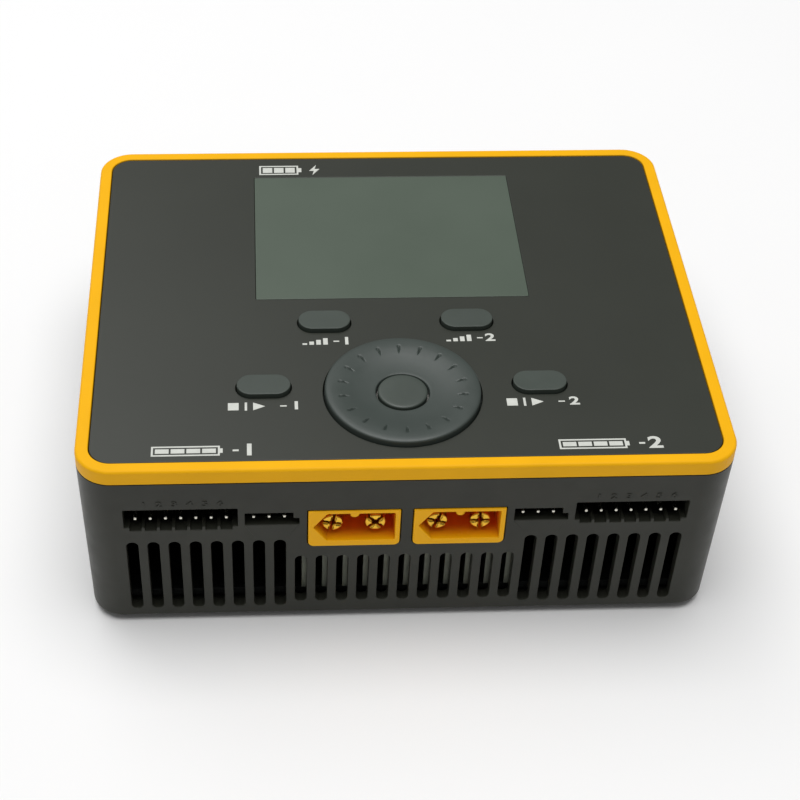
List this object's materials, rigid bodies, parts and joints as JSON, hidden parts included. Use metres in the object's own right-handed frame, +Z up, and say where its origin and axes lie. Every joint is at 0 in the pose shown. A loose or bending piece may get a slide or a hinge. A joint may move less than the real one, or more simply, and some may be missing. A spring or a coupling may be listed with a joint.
{
  "type": "balance battery charger",
  "caption": "Bench charger for model batteries: dark case with amber bezel, screen, jog dial, push buttons, power and balance sockets and vents in front, fans and input behind.",
  "frame": {"origin": "centre of the footprint, on the surface that the feet stand on", "axes": "+X to the right seen from the front, +Y to the back, +Z up; the battery sockets face -Y"},
  "size_m": [0.1084, 0.0899, 0.0377],
  "materials": {
    "case_plastic": "fine moulded grain, charcoal",
    "bezel_plastic": "satin amber",
    "plate_finish": "satin charcoal with printed pale symbols",
    "screen_glass": "clear hard-coated window over an unlit grey-green screen",
    "lcd_panel": "unlit liquid crystal panel",
    "foam_pad": "thin foam",
    "circuit_board": "green solder mask on glass-epoxy",
    "chip_plastic": "black moulding compound",
    "switch_plastic": "grey nylon",
    "button_plastic": "satin charcoal",
    "dial_plastic": "soft-touch charcoal",
    "socket_plastic": "glossy amber nylon",
    "gold_contact": "gold plated",
    "header_plastic": "black nylon",
    "tin_contact": "bright tin plated",
    "brass_standoff": "turned",
    "zinc_screw": "zinc plated",
    "black_screw": "black oxide",
    "heatsink_metal": "extruded, dark anodised",
    "choke_core": "pressed iron powder, lacquered",
    "capacitor_sleeve": "shrink sleeve over an aluminium can",
    "fan_plastic": "black glass-filled plastic",
    "lead_insulation": "red and black insulation",
    "shell_steel": "nickel-plated sheet",
    "ribbon_insulation": "grey ribbon",
    "foot_rubber": "matt black"
  },
  "bodies": {
    "case": {"base_shell": "case_plastic", "bezel_frame": "bezel_plastic", "faceplate": "plate_finish", "lcd_window": "screen_glass", "lcd_module": "lcd_panel", "lcd_pad": "foam_pad", "control_board": "circuit_board", "control_chips": "chip_plastic", "tact_switches": "switch_plastic", "encoder_ring": "switch_plastic", "output_socket_1": "socket_plastic", "output_socket_2": "socket_plastic", "output_pins_1": "gold_contact", "output_pins_2": "gold_contact", "balance_header_1": "header_plastic", "balance_header_2": "header_plastic", "balance_pins_1": "tin_contact", "balance_pins_2": "tin_contact", "aux_header_1": "header_plastic", "aux_header_2": "header_plastic", "aux_pins_1": "tin_contact", "aux_pins_2": "tin_contact", "connector_board": "circuit_board", "connector_standoffs": "brass_standoff", "connector_screws": "zinc_screw", "main_board": "circuit_board", "board_screws": "zinc_screw", "heatsink": "heatsink_metal", "power_transistors": "chip_plastic", "power_inductors": "choke_core", "filter_capacitors": "capacitor_sleeve", "board_chips": "chip_plastic", "fan_frame_1": "fan_plastic", "fan_frame_2": "fan_plastic", "fan_screws": "black_screw", "fan_leads": "lead_insulation", "input_socket": "socket_plastic", "input_pins": "gold_contact", "usb_socket": "shell_steel", "card_socket": "shell_steel", "ribbon_cable": "ribbon_insulation", "ribbon_headers": "chip_plastic", "beeper": "chip_plastic", "control_screws": "zinc_screw", "case_screws": "black_screw", "rubber_feet": "foot_rubber"},
    "status_button_1": {"status_button_1": "button_plastic"},
    "status_button_2": {"status_button_2": "button_plastic"},
    "start_button_1": {"start_button_1": "button_plastic"},
    "start_button_2": {"start_button_2": "button_plastic"},
    "jog_dial": {"jog_dial": "dial_plastic"},
    "dial_button": {"dial_button": "button_plastic"},
    "fan_rotor_1": {"fan_rotor_1": "fan_plastic"},
    "fan_rotor_2": {"fan_rotor_2": "fan_plastic"}
  },
  "joints": [
    {"name": "status_button_1_press", "type": "slide", "parent": "case", "child": "status_button_1", "axis": [0, 0, -1], "range_m": [0, 0.0004], "stiffness_N_per_m": 600},
    {"name": "status_button_2_press", "type": "slide", "parent": "case", "child": "status_button_2", "axis": [0, 0, -1], "range_m": [0, 0.0004], "stiffness_N_per_m": 600},
    {"name": "start_button_1_press", "type": "slide", "parent": "case", "child": "start_button_1", "axis": [0, 0, -1], "range_m": [0, 0.0004], "stiffness_N_per_m": 600},
    {"name": "start_button_2_press", "type": "slide", "parent": "case", "child": "start_button_2", "axis": [0, 0, -1], "range_m": [0, 0.0004], "stiffness_N_per_m": 600},
    {"name": "dial_turn", "type": "hinge", "parent": "case", "child": "jog_dial", "pos_m": [0, -0.0265, 0.036], "axis": [0, 0, 1], "continuous": true},
    {"name": "dial_button_press", "type": "slide", "parent": "jog_dial", "child": "dial_button", "axis": [0, 0, -1], "range_m": [0, 0.0004], "stiffness_N_per_m": 600},
    {"name": "fan_1_spin", "type": "hinge", "parent": "case", "child": "fan_rotor_1", "pos_m": [-0.0312, 0.0374, 0.0162], "axis": [0, 1, 0], "continuous": true},
    {"name": "fan_2_spin", "type": "hinge", "parent": "case", "child": "fan_rotor_2", "pos_m": [0.0312, 0.0374, 0.0162], "axis": [0, 1, 0], "continuous": true}
  ]
}
